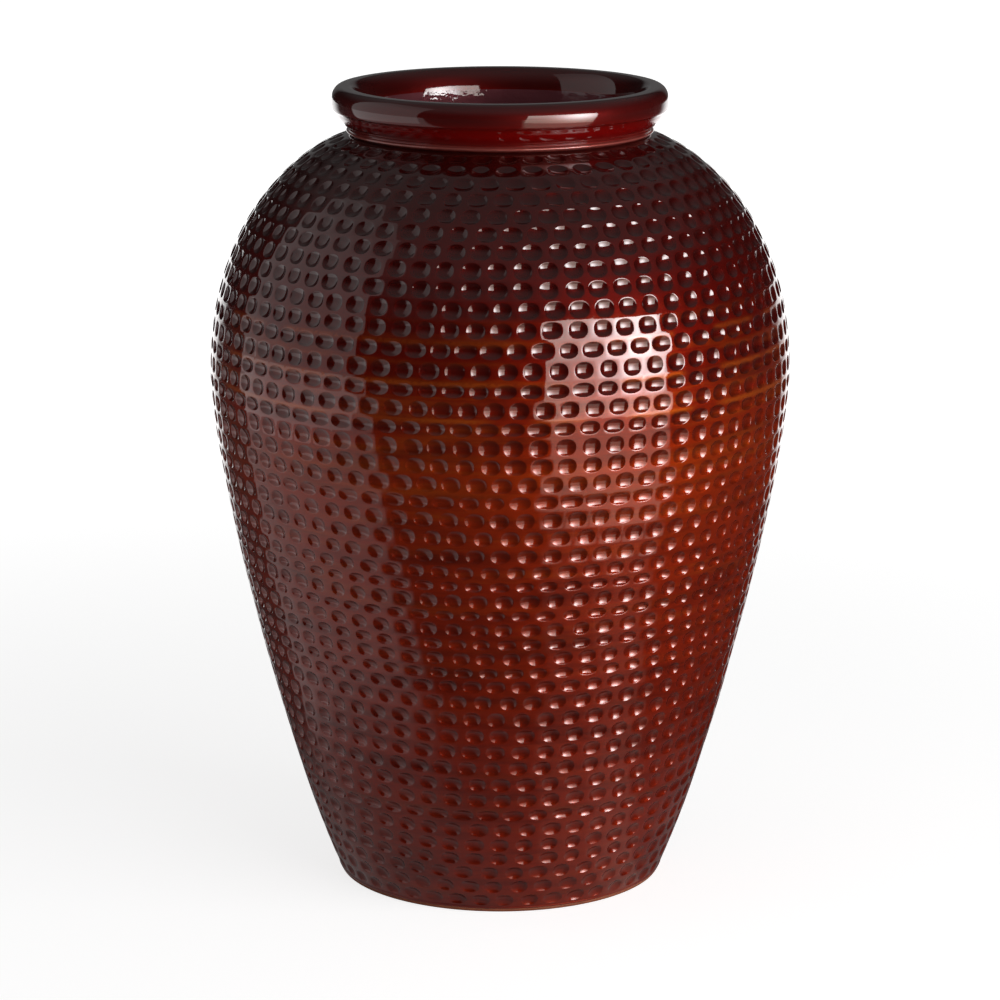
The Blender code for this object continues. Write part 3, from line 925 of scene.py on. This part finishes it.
def make_materials():
    groups = {
        "glaze_tones": glaze_tones_group(),
        "thinning_pooling_and_shade": thinning_pooling_and_shade_group(),
        "hand_surface": hand_surface_group(),
    }

    def wall_colour(tree):
        tones = add(tree, "ShaderNodeGroup", {"node_tree": groups["glaze_tones"]})
        thin = ramp(tree, height_share(tree), [
            (0.4, linear(122, 38, 12)),
            (0.58, linear(134, 44, 10)),
            (0.66, linear(158, 66, 14)),
            (0.8, linear(90, 20, 12)),
        ])
        # How much pooling and painted shade the dimples get, by height.
        pooling_and_shade_by_height = level_between(tree, height_share(tree), 0.56, 0.7, 0.5, 1.15, soft=False)
        given = {"Color": tones.outputs[0], "Thin": thin, "Gather": pooling_and_shade_by_height}
        return add(tree, "ShaderNodeGroup", {"node_tree": groups["thinning_pooling_and_shade"]}, **given).outputs[0]

    def rim_colour(tree):
        share = plus(tree, height_share(tree), noise_about_zero(tree, 30.0, 2.0, 0.005))
        return ramp(tree, share, [
            (0.941, linear(100, 8, 6)),
            (0.9435, linear(160, 86, 78)),  # painted highlight on the bead, with the next stop: a light band in place of the softboxes' reflection
            (0.947, linear(152, 76, 68)),
            (0.9495, linear(112, 8, 6)),
            (0.962, linear(132, 6, 5)),  # underside of the rim
            (0.971, linear(112, 12, 8)),
            (0.978, linear(80, 15, 13)),  # roll of the lip
            (0.988, linear(82, 17, 16)),
            (1.0, linear(66, 13, 14)),
        ])

    # The inside's glaze, painted lighter and pinker than the glaze outside so that the shaded inside of the
    # jar looks lit: partly painted light.
    def inner_colour_with_painted_light(tree):
        return mix_colour(tree, stretched_noise(tree, 20.0, 3.0), linear(100, 52, 58), linear(132, 70, 76))

    return {
        "wall": glazed("wall_glaze", groups, wall_colour),
        "rim": glazed("rim_glaze_look", groups, rim_colour, bump=0.05),
        "inside": glazed(
            "inside_glaze", groups, inner_colour_with_painted_light, roughness=(0.3, 0.5), glint=0.1, bump=0.6, bump_depth=0.6
        ),
        "clay": bare_clay(),
    }


# Stage

def toward(tree, vector, azimuth):
    """How far a vector reaches in a direction on the floor, measured from the camera's side towards +X."""
    turn = math.radians(azimuth)
    way = (math.sin(turn), -math.cos(turn), 0.0)
    node = add(tree, "ShaderNodeVectorMath", {"operation": "DOT_PRODUCT"}, i0=vector, i1=way)
    return node.outputs["Value"]


def floor_sector(tree, place, azimuth, half_width, soft):
    """1 on the part of the floor that lies in a direction from the jar, 0 elsewhere."""
    way = add(tree, "ShaderNodeVectorMath", {"operation": "NORMALIZE"}, i0=place).outputs["Vector"]
    outer = math.cos(math.radians(half_width + soft))
    inner = math.cos(math.radians(half_width - soft))
    return level_between(tree, toward(tree, way, azimuth), outer, inner)


def floor_side(tree, place, azimuth, offset, soft=0.02):
    """1 on the far side of a straight edge on the floor, 0 on the jar's side."""
    return level_between(tree, toward(tree, place, azimuth), offset - soft, offset + soft)


def card_glow_for_reflections(tree, place, away):
    """Glow painted on the floor in place of lit reflector cards, seen only as the glaze mirrors them."""
    near = level_between(tree, away, 0.12, 0.3, 0.14, 0.03)
    left_edge = floor_side(tree, place, -143.5, -0.1, 0.05)
    front_edge = floor_side(tree, place, -28.0, 0.07)
    left_level = level_between(tree, away, 0.17, 0.33, 0.1, LEFT_CARD_LEVEL)
    left = times(tree, times(tree, left_edge, front_edge), left_level)
    behind_level = level_between(tree, away, 0.6, 1.3, 0.5, 1.8)
    behind = times(tree, floor_sector(tree, place, 180.0, 34.0, 8.0), behind_level)
    brighter = times(tree, floor_sector(tree, place, 51.0, 8.0, 8.0), 1.4)
    right_sectors = plus(tree, floor_sector(tree, place, 38.5, 22.0, 3.0), brighter)
    right_start = level_between(tree, away, 0.5, 0.6, 0.08, RIGHT_CARD_LEVEL)
    under_window = level_between(tree, away, 0.7, 1.25, 1.0, 1.8)
    right = times(tree, right_sectors, times(tree, right_start, under_window))
    warm = mix_colour(tree, right, BLACK, WINDOW_TINT)
    plain = plus(tree, left, plus(tree, behind, near))
    return add(tree, "ShaderNodeVectorMath", {"operation": "ADD"}, i0=warm, i1=plain).outputs[0]


def floor_material():
    """Pale floor: bright to the camera, keeps the jar's shadow, and glows with painted reflector cards that
    only the glaze's reflections see.
    """
    material, tree, shader = new_material("pale_floor")
    shader.inputs["Base Color"].default_value = grey(0.5)
    shader.inputs["Roughness"].default_value = 0.9
    shader.inputs["Specular IOR Level"].default_value = 0.0
    place = add(tree, "ShaderNodeTexCoord").outputs["Object"]
    away = add(tree, "ShaderNodeVectorMath", {"operation": "LENGTH"}, i0=place).outputs["Value"]
    path = add(tree, "ShaderNodeLightPath")
    card_glow = add(tree, "ShaderNodeEmission", None, Color=card_glow_for_reflections(tree, place, away), Strength=1.0)
    mirrored = path.outputs["Is Glossy Ray"]
    ground = add(tree, "ShaderNodeMixShader", None, i0=mirrored, i1=shader.outputs[0], i2=card_glow.outputs[0])
    lift = level_between(tree, away, 0.3, 1.6, 0.78, 1.0)
    seen = times(tree, lift, path.outputs["Is Camera Ray"])
    glow = add(tree, "ShaderNodeEmission", None, Color=WHITE, Strength=seen)
    total = add(tree, "ShaderNodeAddShader", None, i0=ground.outputs[0], i1=glow.outputs[0])
    tree.links.new(total.outputs[0], tree.nodes["Material Output"].inputs["Surface"])
    return material


def build_floor():
    bm = bmesh.new()
    bmesh.ops.create_circle(bm, cap_ends=True, radius=FLOOR_RADIUS / MM, segments=64)
    floor = finish_piece(bm, "floor", [floor_material()])


def bright_spot(tree, across, up, width, height, hot_spot):
    """A round bright spot on a softbox, from its place across and up, its width and its level."""
    spot_x, spot_y, spot_width, spot_level = hot_spot
    off_x = times(tree, math_node(tree, "SUBTRACT", across, spot_x), width / spot_width)
    off_y = times(tree, math_node(tree, "SUBTRACT", up, spot_y), height / spot_width)
    off = plus(tree, times(tree, off_x, off_x), times(tree, off_y, off_y))
    return times(tree, math_node(tree, "EXPONENT", times(tree, off, -1.0)), spot_level)


def softbox(
    name, azimuth, distance, middle, width, height, levels, mirrored,
    fade=(0.0, 1.0), roll=0.0, hot_spot=None,
):
    """An upright softbox that faces the jar. azimuth is measured from the camera's side towards +X.

    levels are its brightness at foot and head, and fade is where it changes from one to the other.
    hot_spot is where a bright spot lies across and up, how wide it is, and how bright.
    mirrored is True for one that is only seen mirrored in the glaze, and False for one that only lights it.
    """
    light = bpy.data.lights.new(name, "AREA")
    light.shape = "RECTANGLE"
    light.size = width
    light.size_y = height
    light.energy = math.pi * width * height
    light.use_nodes = True
    tree = light.node_tree
    emission = tree.nodes["Emission"]
    own_place = add(tree, "ShaderNodeNewGeometry").outputs["Parametric"]
    parts = add(tree, "ShaderNodeSeparateXYZ", None, Vector=own_place).outputs
    level = level_between(tree, parts["Y"], *fade, *levels)
    if hot_spot:
        level = plus(tree, level, bright_spot(tree, parts["X"], parts["Y"], width, height, hot_spot))
        colour = mix_colour(tree, times(tree, level, 0.12, clamp=True), WINDOW_TINT, WHITE)
        tree.links.new(colour, emission.inputs["Color"])
    tree.links.new(level, emission.inputs["Strength"])
    turn = math.radians(azimuth)
    place = Vector((distance * math.sin(turn), -distance * math.cos(turn), middle))
    facing = Vector((-place.x, -place.y, 0.0)).to_track_quat("-Z", "Y").to_matrix().to_4x4()
    lamp = bpy.data.objects.new(name, light)
    lamp.matrix_world = Matrix.Translation(place) @ facing @ Matrix.Rotation(math.radians(roll), 4, "Z")
    lamp.visible_camera = False
    lamp.visible_glossy = mirrored
    lamp.visible_diffuse = not mirrored
    bpy.context.scene.collection.objects.link(lamp)


def build_world():
    """White behind the jar and to the camera, dim everywhere else."""
    world = bpy.data.worlds.new("studio")
    bpy.context.scene.world = world
    world.use_nodes = True
    tree = world.node_tree
    background = tree.nodes["Background"]
    path = add(tree, "ShaderNodeLightPath").outputs
    way = add(tree, "ShaderNodeTexCoord").outputs["Generated"]
    parts = add(tree, "ShaderNodeSeparateXYZ", None, Vector=way).outputs
    backdrop = times(tree, level_between(tree, parts["Y"], 0.9, 0.97), BACKDROP_LEVEL)
    mirrored = times(tree, path["Is Glossy Ray"], backdrop)
    clear = math_node(tree, "MAXIMUM", mirrored, path["Is Transmission Ray"])
    white = math_node(tree, "MAXIMUM", path["Is Camera Ray"], clear)
    overhead = level_between(tree, parts["Z"], 0.25, 0.85, ROOM_LEVEL, CEILING_LEVEL)
    room = plus(tree, overhead, times(tree, path["Is Diffuse Ray"], FILL_LEVEL))
    level = add(tree, "ShaderNodeMix", None, i0=white, i2=room, i3=1.0)
    tree.links.new(level.outputs[0], background.inputs["Strength"])
    background.inputs["Color"].default_value = WHITE


def build_camera():
    data = bpy.data.cameras.new("camera")
    data.lens = LENS
    data.sensor_width = SENSOR_WIDTH
    camera = bpy.data.objects.new("camera", data)
    aim = (Vector(CAMERA_AIM) - Vector(CAMERA_PLACE)).to_track_quat("-Z", "Y")
    camera.matrix_world = Matrix.Translation(CAMERA_PLACE) @ aim.to_matrix().to_4x4()
    bpy.context.scene.collection.objects.link(camera)
    bpy.context.scene.camera = camera


def build_lights():
    softbox(
        "window_glow", azimuth=41.5, distance=1.3, middle=0.45, width=1.185, height=0.78, roll=-6.0,
        levels=(1.5, 4.8), hot_spot=(0.73, 0.73, 0.32, 14.5), mirrored=True,
    )
    softbox(
        "window_light", azimuth=50.0, distance=1.33, middle=0.45, width=1.6, height=0.78,
        levels=(2.9, 5.4), mirrored=False,
    )
    panel = {"azimuth": -85.0, "middle": 0.85, "width": 1.16, "height": 1.7, "fade": (0.45, 0.95)}
    softbox("panel_glow", distance=1.0, levels=(0.52, 0.24), mirrored=True, **panel)
    softbox("panel_light", distance=1.03, levels=(0.32, 0.15), mirrored=False, **panel)


bpy.context.scene.view_settings.view_transform = "Standard"
materials = make_materials()
build_camera()
build_wall([materials["wall"], materials["inside"]])
build_foot_ring(materials["clay"])
build_floor_slab(materials["inside"])
build_collar(materials["rim"], materials["inside"])
build_rim(materials["rim"], materials["inside"])
build_floor()
build_world()
build_lights()
